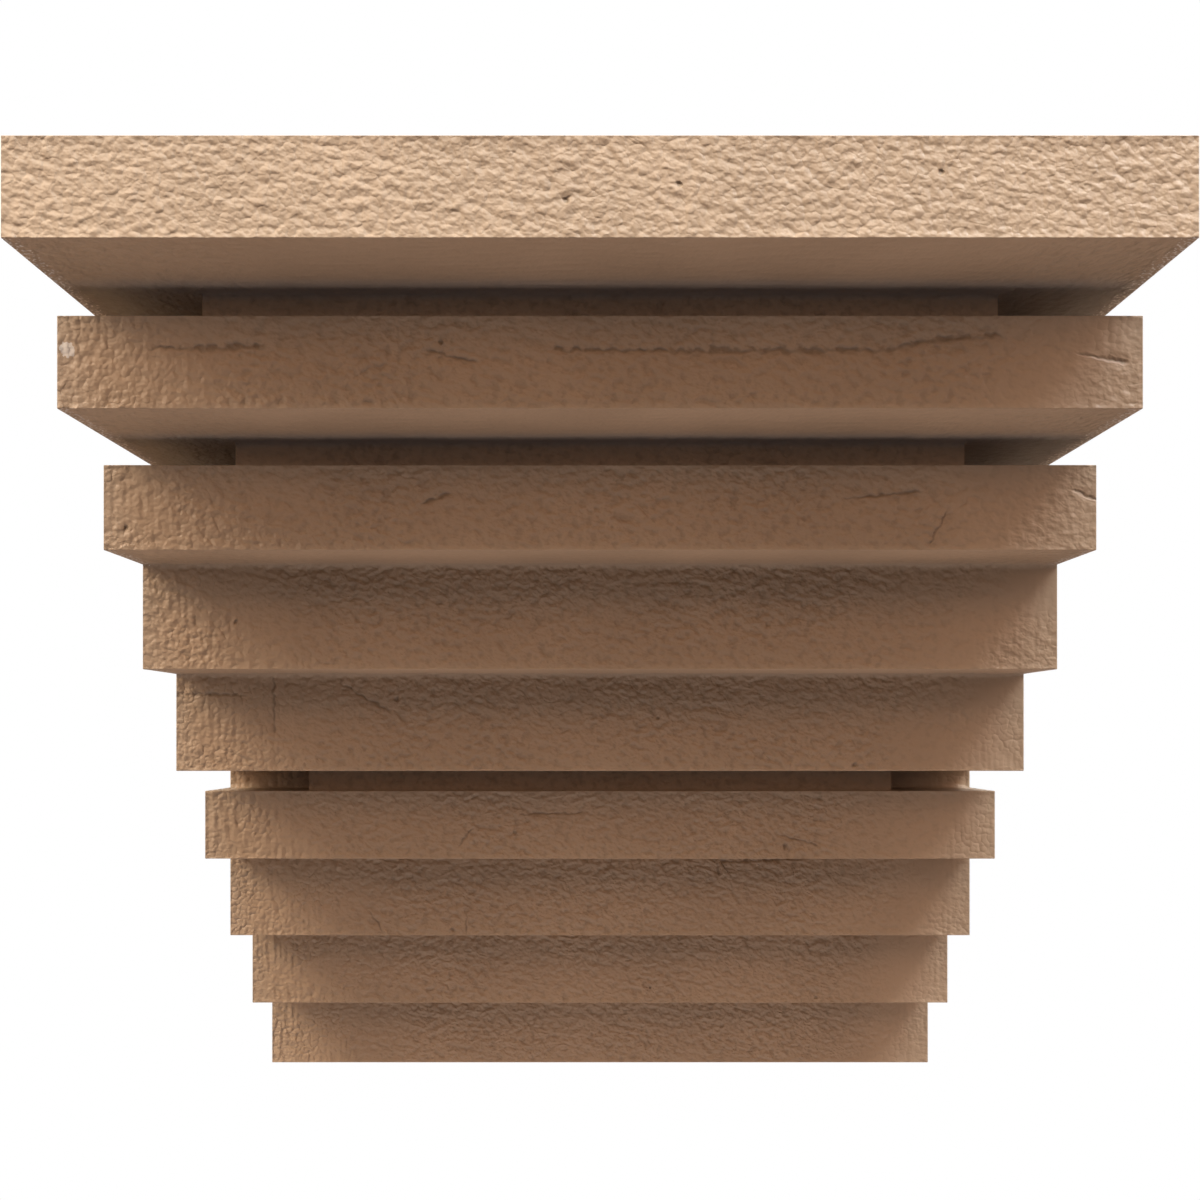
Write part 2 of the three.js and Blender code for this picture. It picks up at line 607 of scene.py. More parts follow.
@dataclass(frozen=True)
class MarkMap:
    """Where the finer marks are, as one value or vector for each vertex.

    Lengths are in millimetres.

    Attributes:
        sizes: The form.
        ends: How the kerfs and beads grow away from the middle.
        rims: How the undersides' rough rims, and the painted glints on them, grow away from the middle.
        right_side: Parts the right half from the left.
        right_later: How much nearer the cheek the marks begin on the right.
        right_fewer: How much weaker the kerfs and beads are on the right.
        downwards: How the kerfs and beads grow with the depth below the middle.
        end_calm: How much the lumps lose towards an end.
        right_calm: How much more they lose on the right.
        backwards: Leaves the back face a trace of the marks, by how far a point looks back.
        lump_patches: Where the lumps of the lower fronts are stronger.
        furrows: Where the kerfs are stronger.
        pebbles: Where the beads are stronger.
        top_lumps: The lumps' strength on the top tier.
        top_beads: The beads' strength there.
        level_lumps: The lumps' strength on level sides.
        level_end_lumps: How much they gain there towards an end.
        level_rim_lumps: How much they gain at the rim.
        arris_gain: Carries the painted glints on to the arris, whose direction is half level.
        inwards: How the groove's painted shade grows with the distance from a cheek.
        behind: How it grows behind the front of the tier below.
        touch: How far outside a groove its own surfaces still count.
        pale_spot_peak: A pale spot's strength at its middle.
        far: The offset of a vertex that has no mark near it.
        near: How far from a mark its offset is kept.
        tip: The length over which a crack closes at its end.
    """

    sizes: CorbelSizes
    ends: Ramp = Ramp(70.0, 135.0)
    rims: Ramp = Ramp(141.0, 151.0)
    right_side: Ramp = Ramp(-20.0, 20.0)
    right_later: float = 11.0
    right_fewer: float = 0.45
    downwards: Ramp = Ramp(-110.0, 120.0, 0.85, 2.70)
    end_calm: float = 0.50
    right_calm: float = 0.32
    backwards: Ramp = Ramp(0.5, 0.9, 1.0, 0.15)
    lump_patches: Patches = Patches(30.0, Ramp(-0.35, 0.25, 0.85, 1.15), 31)
    furrows: Patches = Patches(20.0, Ramp(-0.25, 0.30, 0.25, 1.0), 32)
    pebbles: Patches = Patches(16.0, Ramp(-0.25, 0.25, 0.35, 1.0), 33)
    top_lumps: float = 0.48
    top_beads: float = 0.80
    level_lumps: float = 0.18
    level_end_lumps: float = 0.40
    level_rim_lumps: float = 0.30
    arris_gain: float = 1.45
    inwards: Ramp = Ramp(-8.0, 10.0)
    behind: Ramp = Ramp(-6.0, 6.0)
    touch: float = 0.1
    pale_spot_peak: float = 3.0
    far: float = 50.0
    near: float = 6.0
    tip: float = 2.5

    def shares(self, points: np.ndarray, outward: np.ndarray) -> dict[Mark, np.ndarray]:
        """Gives how strong the lumps, kerfs, beads and grain are, and the painted shade in the grooves, the
        painted glints and the pale spot.

        The top front is evenly rough. On the others the lumps come in patches, and kerfs and beads
        grow towards the ends. Level surfaces have grain, faint lumps and a beaded rim with painted glints.

        Args:
            points: One row for each point, in millimetres.
            outward: The direction that each looks in.

        Returns:
            One value for each point, by mark.
        """
        aside = np.abs(points[:, Axis.X])
        right = self.right_side.at(points[:, Axis.X])
        end = self.ends.at(aside - self.right_later * right)
        rim = self.rims.at(aside)
        level = np.abs(outward[:, Axis.Z])
        upright = (1 - level) * self.backwards.at(outward[:, Axis.Y])
        on_top_tier = points[:, Axis.Z] > self.sizes.underside(0) / MM + self.touch
        lumps = self.lump_patches.at(points) - end * (self.end_calm + self.right_calm * right)
        level_lumps = self.level_lumps + self.level_end_lumps * end + self.level_rim_lumps * rim
        marked_end = end * self.downwards.at(-points[:, Axis.Z]) * (1 - self.right_fewer * right)
        kerfs = np.where(on_top_tier, 0.0, marked_end * self.furrows.at(points))
        beads = np.where(on_top_tier, self.top_beads, marked_end * self.pebbles.at(points))
        return {
            Mark.ROUGH: upright * np.where(on_top_tier, self.top_lumps, lumps) + level * level_lumps,
            Mark.KERF: upright * kerfs,
            Mark.BEAD: upright * beads + level * rim,
            Mark.GRAIN: level,
            # Painted shade: the grooves' roofs are tinted cooler and darker where shade falls.
            Mark.GROOVE: self.groove_share(points) * np.maximum(0.0, -outward[:, Axis.Z]),
            # Painted highlight: pale glints along the undersides' rims and arrises, plus the pale spot.
            Mark.SPECK: np.minimum(1.0, self.arris_gain * level) * rim + self.pale_spot_share(points),
        }

    def groove_share(self, points: np.ndarray) -> np.ndarray:
        """Gives how deep in a groove each point is, from 0 outside to 1 well inside, which sets the painted
        shade on the grooves' roofs.

        It grows behind the front of the tier below and inwards from the cheeks, and ends at the
        shoulder.

        Args:
            points: One row for each point, in millimetres.

        Returns:
            One value for each point.
        """
        s = self.sizes
        inwards = self.inwards.at(s.half_width / MM - np.abs(points[:, Axis.X]))
        share = np.zeros(len(points))
        for tier in s.grooved_tiers:
            above_floor = points[:, Axis.Z] > s.groove_floor(tier) / MM - self.touch
            under_roof = points[:, Axis.Z] < s.underside(tier) / MM + self.touch
            behind = self.behind.at(points[:, Axis.Y] - s.front(tier + 1) / MM)
            share = np.maximum(share, above_floor * under_roof * behind * inwards)
        return share * (points[:, Axis.Y] < s.front(s.shoulder_tier) / MM + self.touch)

    def pale_spot_share(self, points: np.ndarray) -> np.ndarray:
        """Gives how near each point is to one of the pale spots.

        Args:
            points: One row for each point, in millimetres.

        Returns:
            One value for each point.
        """
        share = np.zeros(len(points))
        for pale_spot in PALE_SPOTS:
            gap = np.linalg.norm(points - pale_spot.place(self.sizes), axis=1)
            share += self.pale_spot_peak * fall_off(gap, pale_spot.radius)
        return share

    def cracks(self, points: np.ndarray) -> dict[Mark, np.ndarray]:
        """Gives each point's distance across the nearest crack's line, and how far open that is.

        The offset is signed and runs straight through the line, so that it can be blended between
        vertices. The reach is 1 along the crack and falls to 0 past its ends and away from it.

        Args:
            points: One row for each point, in millimetres.

        Returns:
            The offset in crack widths and the reach, by mark.
        """
        nearest = np.full(len(points), np.inf)
        offset = np.full(len(points), self.far)
        reach = np.zeros(len(points))
        for crack in CRACKS:
            start, end = crack.ends(self.sizes)
            length = np.linalg.norm(end - start)
            along = (end - start) / length
            across = np.array([-along[Axis.Z], 0.0, along[Axis.X]])
            away = points - start
            run, side = away @ along, away @ across
            past = np.maximum(0, np.maximum(-run, run - length))
            gap = np.sqrt(side**2 + past**2 + away[:, Axis.Y] ** 2)
            closer = gap < nearest
            nearest = np.where(closer, gap, nearest)
            offset = np.where(closer, side / crack.width, offset)
            closed = Ramp(0.0, self.tip).at(past)
            away_share = Ramp(self.near / 2, self.near).at(gap)
            reach = np.where(closer, (1 - closed) * (1 - away_share), reach)
        return {Mark.CRACK_OFFSET: offset, Mark.CRACK_REACH: reach}

    def holes(self, points: np.ndarray) -> dict[Mark, np.ndarray]:
        """Gives each point's way from the nearest pin hole's middle, in hole radii.

        Args:
            points: One row for each point, in millimetres.

        Returns:
            One vector for each point, far away along the depth where no hole is near.
        """
        offset = np.tile([0.0, self.far, 0.0], (len(points), 1))
        for hole in PIN_HOLES:
            away = points - hole.place(self.sizes)
            close = np.linalg.norm(away, axis=1) < self.near
            offset[close] = away[close] / hole.radius
        return {Mark.HOLE_OFFSET: offset}

    def write(self, mesh: bpy.types.Mesh, points: np.ndarray, outward: np.ndarray) -> None:
        """Writes every mark to the mesh as a vertex attribute.

        Args:
            mesh: The mesh.
            points: Its vertices in metres, before the relief moves them.
            outward: The direction that each looks in.
        """
        places = points / MM
        marks = self.shares(places, outward) | self.cracks(places) | self.holes(places)
        for mark, values in marks.items():
            vectors = values.ndim == 2
            made = mesh.attributes.new(mark.value, "FLOAT_VECTOR" if vectors else "FLOAT", "POINT")
            made.data.foreach_set("vector" if vectors else "value", values.astype(np.float32).ravel())


class ShaderWriter:
    """Writes the nodes of one tree, with plain numbers or other nodes' outputs as inputs."""

    def __init__(self, tree: bpy.types.NodeTree) -> None:
        """Starts on an empty tree."""
        self.tree = tree
        tree.nodes.clear()

    def node(
        self, kind: str, inputs: dict[str | int, NodeInput] | None = None, **settings: object
    ) -> bpy.types.Node:
        """Adds a node.

        Args:
            kind: Its type name.
            inputs: A number or an output for each input, by name or place.
            settings: Its properties.

        Returns:
            The node.
        """
        made = self.tree.nodes.new(kind)
        for name, value in settings.items():
            setattr(made, name, value)
        for name, value in (inputs or {}).items():
            self.feed(made.inputs[name], value)
        return made

    def feed(self, socket: bpy.types.NodeSocket, value: NodeInput) -> None:
        """Links an output to a socket, or sets the socket to a number."""
        if isinstance(value, bpy.types.NodeSocket):
            self.tree.links.new(value, socket)
        else:
            socket.default_value = value

    def math(self, operation: str, *values: NodeInput) -> bpy.types.NodeSocket:
        """Adds a Math node and gives its output."""
        inputs = dict(enumerate(values))
        return self.node("ShaderNodeMath", inputs, operation=operation).outputs[0]

    def vector(
        self, operation: str, *values: NodeInput, output: int | str = 0
    ) -> bpy.types.NodeSocket:
        """Adds a Vector Math node and gives its vector, or the output called for."""
        made = self.node("ShaderNodeVectorMath", dict(enumerate(values)), operation=operation)
        return made.outputs[output]

    def scaled(self, vector: NodeInput, factor: NodeInput) -> bpy.types.NodeSocket:
        """Multiplies a vector by one number and gives the output."""
        made = self.node("ShaderNodeVectorMath", {0: vector, "Scale": factor}, operation="SCALE")
        return made.outputs[0]

    def ramp(self, value: NodeInput, ramp: Ramp) -> bpy.types.NodeSocket:
        """Puts a value through a ramp and gives the output."""
        inputs = {"Value": value, "From Min": ramp.low, "From Max": ramp.high}
        inputs |= {"To Min": ramp.start, "To Max": ramp.end}
        return self.node("ShaderNodeMapRange", inputs, interpolation_type="SMOOTHSTEP").outputs[0]

    def product(self, first: NodeInput, *others: NodeInput) -> bpy.types.NodeSocket:
        """Multiplies values and gives the output."""
        for other in others:
            first = self.math("MULTIPLY", first, other)
        return first

    def stretched(self, place: NodeInput, axis: str, stretch: NodeInput) -> bpy.types.NodeSocket:
        """Makes what stands on a flat place longer along one coordinate and gives the output."""
        factors = {"X": 1.0, "Y": 1.0, axis: self.math("DIVIDE", 1.0, stretch)}
        return self.vector("MULTIPLY", place, self.node("ShaderNodeCombineXYZ", factors).outputs[0])

    def mark(self, mark: Mark, output: str = "Fac") -> bpy.types.NodeSocket:
        """Reads one of the mesh's own marks, as a number or as the output called for."""
        return self.node("ShaderNodeAttribute", attribute_name=mark.value).outputs[output]

    def noise(self, place: NodeInput, size: float, detail: float = 0.0) -> bpy.types.Node:
        """Adds a noise on a flat place, whose features are about size long."""
        inputs = {"Vector": place, "Scale": 1 / size, "Detail": detail}
        return self.node("ShaderNodeTexNoise", inputs, noise_dimensions="2D")

    def about_zero(self, noise: bpy.types.Node) -> bpy.types.NodeSocket:
        """Takes the middle off a noise, so that it swings about zero, and gives the output."""
        return self.math("SUBTRACT", noise.outputs[0], NOISE_MIDDLE)

    def mix(
        self, first: NodeInput, second: NodeInput, share: NodeInput, **settings: object
    ) -> bpy.types.NodeSocket:
        """Mixes two colours and gives the output."""
        inputs = {"A": first, "B": second, "Factor": share}
        return self.node("ShaderNodeMix", inputs, data_type="RGBA", **settings).outputs["Result"]

    def group(self, tree: bpy.types.NodeTree, inputs: dict[str, NodeInput]) -> bpy.types.NodeSocket:
        """Places one of the relief's groups and gives its height."""
        return self.node("ShaderNodeGroup", inputs, node_tree=tree).outputs["Height"]


@dataclass(frozen=True)
class ReliefGroups:
    """The node groups of the fine relief. Lengths and heights in them are in millimetres.

    Attributes:
        lump_detail: How many times the lumps carry smaller ones.
        crease_spacing: How far apart the creases run, in lumps.
        crease_edge: How a crease ends beside its line.
        bead_softness: How far a bead runs into the next.
        bead_scatter: How irregularly the beads lie.
        bead_top: A bead's height at its middle.
    """

    lump_detail: float = 1.6
    crease_spacing: float = 2.3
    crease_edge: Ramp = Ramp(0.0, 0.08, 1.0, 0.0)
    bead_softness: float = 0.25
    bead_scatter: float = 0.85
    bead_top: float = 0.2

    @staticmethod
    def start(
        name: str, *numbers: str
    ) -> tuple[ShaderWriter, bpy.types.NodeOutputs, bpy.types.NodeSocket]:
        """Starts a group that takes a flat place, a size and other numbers and gives a height.

        Args:
            name: The group's name.
            numbers: The names of the other numbers.

        Returns:
            A writer, what the group is given, and the place in units of the size.
        """
        tree = bpy.data.node_groups.new(name, "ShaderNodeTree")
        tree.interface.new_socket(name="Flat", in_out="INPUT", socket_type="NodeSocketVector")
        for number in ("Size", *numbers):
            tree.interface.new_socket(name=number, in_out="INPUT", socket_type="NodeSocketFloat")
        tree.interface.new_socket(name="Height", in_out="OUTPUT", socket_type="NodeSocketFloat")
        w = ShaderWriter(tree)
        given = w.node("NodeGroupInput").outputs
        return w, given, w.scaled(given["Flat"], w.math("DIVIDE", 1.0, given["Size"]))

    def stucco(self) -> bpy.types.NodeTree:
        """Rounded lumps with short creases, longer across than up, all leaning one way.

        The height is noise on a flat place that is turned and stretched along its first
        coordinate, less a crease where broader noise passes its middle. It is zero on average, so
        that it can be made weaker without lifting the surface.

        Returns:
            The group, which also takes Lean, Stretch and Crease.
        """
        w, given, small = self.start("stucco_lumps", "Lean", "Stretch", "Crease")
        turn = {"Vector": small, "Angle": given["Lean"]}
        leaning = w.node("ShaderNodeVectorRotate", turn, rotation_type="Z_AXIS").outputs[0]
        place = w.stretched(leaning, "X", given["Stretch"])
        lumps = w.about_zero(w.noise(place, 1.0, self.lump_detail))
        from_line = w.math("ABSOLUTE", w.about_zero(w.noise(place, self.crease_spacing)))
        crease = w.product(w.ramp(from_line, self.crease_edge), given["Crease"])
        w.node("NodeGroupOutput", {"Height": w.math("SUBTRACT", lumps, crease)})
        return w.tree

    def streaks(self) -> bpy.types.NodeTree:
        """Long streaks: noise about zero on a flat place squeezed along its second coordinate.

        Returns:
            The group, which also takes Stretch.
        """
        w, given, small = self.start("long_streaks", "Stretch")
        place = w.stretched(small, "Y", given["Stretch"])
        w.node("NodeGroupOutput", {"Height": w.about_zero(w.noise(place, 1.0))})
        return w.tree

    def beads(self) -> bpy.types.NodeTree:
        """Round pebbles side by side: each is highest at its own cell's middle.

        The height is the top's less the square of the distance to the nearest cell's middle, in
        cells, so that each pebble is a dome.

        Returns:
            The group.
        """
        w, _, small = self.start("pebbled_beads")
        inputs = {"Vector": small, "Scale": 1.0}
        inputs |= {"Smoothness": self.bead_softness, "Randomness": self.bead_scatter}
        cells = w.node("ShaderNodeTexVoronoi", inputs, feature="SMOOTH_F1", voronoi_dimensions="2D")
        distance = cells.outputs["Distance"]
        domed = w.math("SUBTRACT", self.bead_top, w.product(distance, distance))
        w.node("NodeGroupOutput", {"Height": domed})
        return w.tree


@dataclass(frozen=True)
class TanPrimer:
    """Rough urethane under a tan primer with a low sheen. Lengths and heights are in millimetres.

    Attributes:
        colour: The primer's colour.
        tone: How the colour varies over broad patches, from noise.
        patch_size: The width of these patches.
        patch_detail: How many times they carry smaller ones.
        groove_painted_shade: Painted shade: what the primer's colour is multiplied by on a groove's roof,
            cooler and darker where the grooves lie in shade.
        glint_and_spot_colour: The colour of the painted glints on the undersides' rims and of the pale spot.
        speck_size: The size of a speck of the painted glints and the pale spot.
        speck_edge: How a speck ends, by noise plus the mesh's own mark.
        pit_painted_shade: Painted shade: how much darker the pits between lumps are, by the lumps' height.
        crack_and_hole_painted_shade: Painted shade: how light the colour is in cracks and holes, by their
            strength.
        roughness: How rough the primer is, from the broad patches.
        specular: The strength of its sheen.
        lump_size: The size of the lumps.
        lump_lean: The angle by which they lean.
        lump_stretch: How much longer a lump is than it is high.
        lump_crease: The depth of the creases between them, as a share of their height.
        lump_height: Their height.
        streak_size: The distance between two streaks.
        streak_stretch: How much longer a streak is than it is wide.
        kerf_height: The height of the upright saw marks.
        grain_height: The height of the level sides' grain.
        bead_size: The size of the pebbles.
        bead_height: Their height.
        bead_drift: How far they are pushed out of round.
        drift_size: The distance over which this push changes.
        crack_height: The depth of a crack.
        crack_stray: How much the lumps shake a crack's line, in crack widths.
        crack_sway: How much the push on the pebbles sways it, in crack widths.
        crack_edge: How a crack ends beside its line, in crack widths.
        crack_break: Where the lumps half close a crack.
        hole_height: The depth of a pin hole.
        hole_drift: How far its mouth is pushed out of round, in hole radii.
        hole_edge: How it ends, in hole radii from its middle.
    """

    colour: tuple[float, float, float] = (0.57, 0.41, 0.275)
    tone: Ramp = Ramp(0.3, 0.7, 0.96, 1.03)
    patch_size: float = 45.0
    patch_detail: float = 1.0
    groove_painted_shade: tuple[float, float, float] = (0.74, 0.93, 1.25)
    glint_and_spot_colour: tuple[float, float, float] = (0.84, 0.75, 0.66)
    speck_size: float = 0.9
    speck_edge: Ramp = Ramp(1.56, 1.66)
    pit_painted_shade: Ramp = Ramp(-0.25, 0.0, 0.16, 0.0)
    crack_and_hole_painted_shade: Ramp = Ramp(0.2, 1.0, 1.0, 0.66)
    roughness: Ramp = Ramp(0.3, 0.7, 0.46, 0.54)
    specular: float = 0.40
    lump_size: float = 2.6
    lump_lean: float = math.radians(14)
    lump_stretch: float = 1.25
    lump_crease: float = 0.06
    lump_height: float = 1.6
    streak_size: float = 2.0
    streak_stretch: float = 6.0
    kerf_height: float = 0.32
    grain_height: float = 0.22
    bead_size: float = 1.9
    bead_height: float = 0.32
    bead_drift: float = 1.4
    drift_size: float = 2.6
    crack_height: float = 0.40
    crack_stray: float = 1.4
    crack_sway: float = 1.2
    crack_edge: Ramp = Ramp(0.0, 1.15, 1.0, 0.0)
    crack_break: Ramp = Ramp(-0.1, 0.15, 1.0, 0.7)
    hole_height: float = 0.9
    hole_drift: float = 1.1
    hole_edge: Ramp = Ramp(0.2, 1.15, 1.0, 0.0)

    def material(self) -> bpy.types.Material:
        """Builds the material.

        Returns:
            The material, on the mesh's own flat map and marks.
        """
        made = bpy.data.materials.new(SLOT)
        made.use_nodes = True
        w = ShaderWriter(made.node_tree)
        flat = w.scaled(w.node("ShaderNodeUVMap", uv_map=FLAT_MAP).outputs[0], 1 / MM)
        height, painted_shade = self.relief(w, ReliefGroups(), flat)
        bump = w.node("ShaderNodeBump", {"Height": height, "Distance": MM, "Strength": 1.0})
        patch = w.noise(flat, self.patch_size, self.patch_detail).outputs[0]
        shader = w.node(
            "ShaderNodeBsdfPrincipled",
            {
                # Painted shade in the pits, cracks and holes darkens the base colour.
                "Base Color": self.paint(w, flat, w.product(w.ramp(patch, self.tone), painted_shade)),
                "Roughness": w.ramp(patch, self.roughness),
                "Specular IOR Level": self.specular,
                "Normal": bump.outputs[0],
            },
        )
        w.node("ShaderNodeOutputMaterial", {"Surface": shader.outputs[0]})
        return made

    def paint(
        self, w: ShaderWriter, flat: bpy.types.NodeSocket, tone: bpy.types.NodeSocket
    ) -> bpy.types.NodeSocket:
        """Mixes the primer's colour.

        The primer is its own colour times the tone, then times the painted shade on the grooves'
        roofs, then the colour of the painted glints and the pale spot where noise plus the mesh's mark is
        high.

        Args:
            w: The material's writer.
            flat: The flat place on the surface in millimetres.
            tone: How light the primer is, from its broad patches and the painted shade in pits, cracks and
                holes.

        Returns:
            The colour.
        """
        black = (0.0, 0.0, 0.0, 1.0)
        primer = w.mix(black, (*self.colour, 1.0), tone, clamp_factor=False)
        # Painted shade: the grooves' roofs take a cooler, darker colour.
        groove_painted_shade = (*self.groove_painted_shade, 1.0)
        toned = w.mix(primer, groove_painted_shade, w.mark(Mark.GROOVE), blend_type="MULTIPLY")
        # Painted highlight: pale glints on the undersides' rims, and the pale spot.
        speck = w.math("ADD", w.noise(flat, self.speck_size).outputs[0], w.mark(Mark.SPECK))
        return w.mix(toned, (*self.glint_and_spot_colour, 1.0), w.ramp(speck, self.speck_edge))

    def relief(
        self, w: ShaderWriter, groups: ReliefGroups, flat: bpy.types.NodeSocket
    ) -> tuple[bpy.types.NodeSocket, bpy.types.NodeSocket]:
        """Adds up the fine relief.

        Args:
            w: The material's writer.
            groups: The groups to build it from.
            flat: The flat place on the surface in millimetres.

        Returns:
            The height in millimetres, and the painted shade that the pits, cracks and holes give the colour.
        """
        lumps = w.group(
            groups.stucco(),
            {
                "Flat": flat,
                "Size": self.lump_size,
                "Lean": self.lump_lean,
                "Stretch": self.lump_stretch,
                "Crease": self.lump_crease,
            },
        )
        streak_inputs = {"Flat": flat, "Size": self.streak_size, "Stretch": self.streak_stretch}
        streaks = w.group(groups.streaks(), streak_inputs)
        kerfs = w.product(w.mark(Mark.KERF), self.kerf_height)
        streak_height = w.math("ADD", kerfs, w.product(w.mark(Mark.GRAIN), self.grain_height))
        push = w.noise(flat, self.drift_size).outputs["Color"]
        drift = w.vector("SUBTRACT", push, (NOISE_MIDDLE,) * 3)
        strayed = w.vector("ADD", flat, w.scaled(drift, self.bead_drift))
        beads = w.group(groups.beads(), {"Flat": strayed, "Size": self.bead_size})
        crack, hole = self.crack(w, lumps, drift), self.hole(w, drift)
        terms = [
            w.product(lumps, self.lump_height, w.mark(Mark.ROUGH)),
            w.product(streaks, streak_height),
            w.product(beads, self.bead_height, w.mark(Mark.BEAD)),
            w.product(crack, -self.crack_height),
            w.product(hole, -self.hole_height),
        ]
        height = terms[0]
        for term in terms[1:]:
            height = w.math("ADD", height, term)
        # Painted shade: the pits between the lumps are darkened where shade falls in them.
        darker = w.product(w.ramp(lumps, self.pit_painted_shade), w.mark(Mark.ROUGH))
        pits = w.math("SUBTRACT", 1.0, darker)
        # Painted shade: the colour is darkened inside the cracks and holes.
        marks = w.ramp(w.math("MAXIMUM", crack, hole), self.crack_and_hole_painted_shade)
        return height, w.product(pits, marks)

    def crack(
        self, w: ShaderWriter, lumps: bpy.types.NodeSocket, drift: bpy.types.NodeSocket
    ) -> bpy.types.NodeSocket:
        """Gives 1 in a crack and 0 outside it, on a line that strays with the relief.

        Args:
            w: The material's writer.
            lumps: The lumps' height, which shakes the line and half closes it in places.
            drift: The push on the pebbles, which sways it.

        Returns:
            The crack's strength.
        """
        sway = w.vector("DOT_PRODUCT", drift, (0.0, self.crack_sway, 0.0), output="Value")
        astray = w.math("ADD", w.product(lumps, self.crack_stray), sway)
        offset = w.math("ADD", w.mark(Mark.CRACK_OFFSET), astray)
        line = w.ramp(w.math("ABSOLUTE", offset), self.crack_edge)
        return w.product(line, w.mark(Mark.CRACK_REACH), w.ramp(lumps, self.crack_break))

    def hole(self, w: ShaderWriter, drift: bpy.types.NodeSocket) -> bpy.types.NodeSocket:
        """Gives 1 at the middle of a pin hole and 0 outside its uneven mouth.

        Args:
            w: The material's writer.
            drift: What pushes the mouth out of round.

        Returns:
            The hole's strength.
        """
        way = w.mark(Mark.HOLE_OFFSET, output="Vector")
        shaken = w.vector("ADD", way, w.scaled(drift, self.hole_drift))
        return w.ramp(w.vector("LENGTH", shaken, output="Value"), self.hole_edge)


def read_numbers(items: bpy.types.bpy_prop_collection, name: str) -> np.ndarray:
    """Reads a whole number from each of a mesh's items."""
    numbers = np.empty(len(items), np.int32)
    items.foreach_get(name, numbers)
    return numbers


def read_vectors(items: bpy.types.bpy_prop_collection, name: str) -> np.ndarray:
    """Reads a vector from each of a mesh's items, as one row for each."""
    vectors = np.empty(len(items) * 3, np.float32)
    items.foreach_get(name, vectors)
    return vectors.reshape(-1, 3)


def add_object(name: str, data: bpy.types.ID) -> bpy.types.Object:
    """Makes an object of some data in the scene."""
    made = bpy.data.objects.new(name, data)
    bpy.context.scene.collection.objects.link(made)
    return made


def write_flat_map(mesh: bpy.types.Mesh, points: np.ndarray, facing: np.ndarray) -> None:
    """Lays every face flat in a UV map, in metres.

    A front or back takes its width and height, a cheek its depth and height, and a level side its
    depth and width. So streaks along the second coordinate run up the fronts and cheeks, and
    along the width of the level sides. Sides that look different ways are shifted apart, and so
    are level sides at different heights, so that no two have the same pattern.

    Args:
        mesh: The mesh, before any modifier.
        points: Its vertices in metres, before the relief moves them.
        facing: The axis that each face looks along, from 1 to 3, less than 0 if backwards.
    """
    side = np.repeat(facing, read_numbers(mesh.polygons, "loop_total"))
    x, y, z = points[read_numbers(mesh.loops, "vertex_index")].T
    cheek = np.abs(side) == Axis.X + 1
    level = np.abs(side) == Axis.Z + 1
    shift_by_side = 0.5
    shift_by_height = 3.0
    across = np.where(level, y + shift_by_height * z, np.where(cheek, y, x)) + shift_by_side * side
    up = np.where(level, x, z)
    flat = np.stack([across, up], axis=1).astype(np.float32)
    mesh.uv_layers.new(name=FLAT_MAP).uv.foreach_set("vector", flat.ravel())


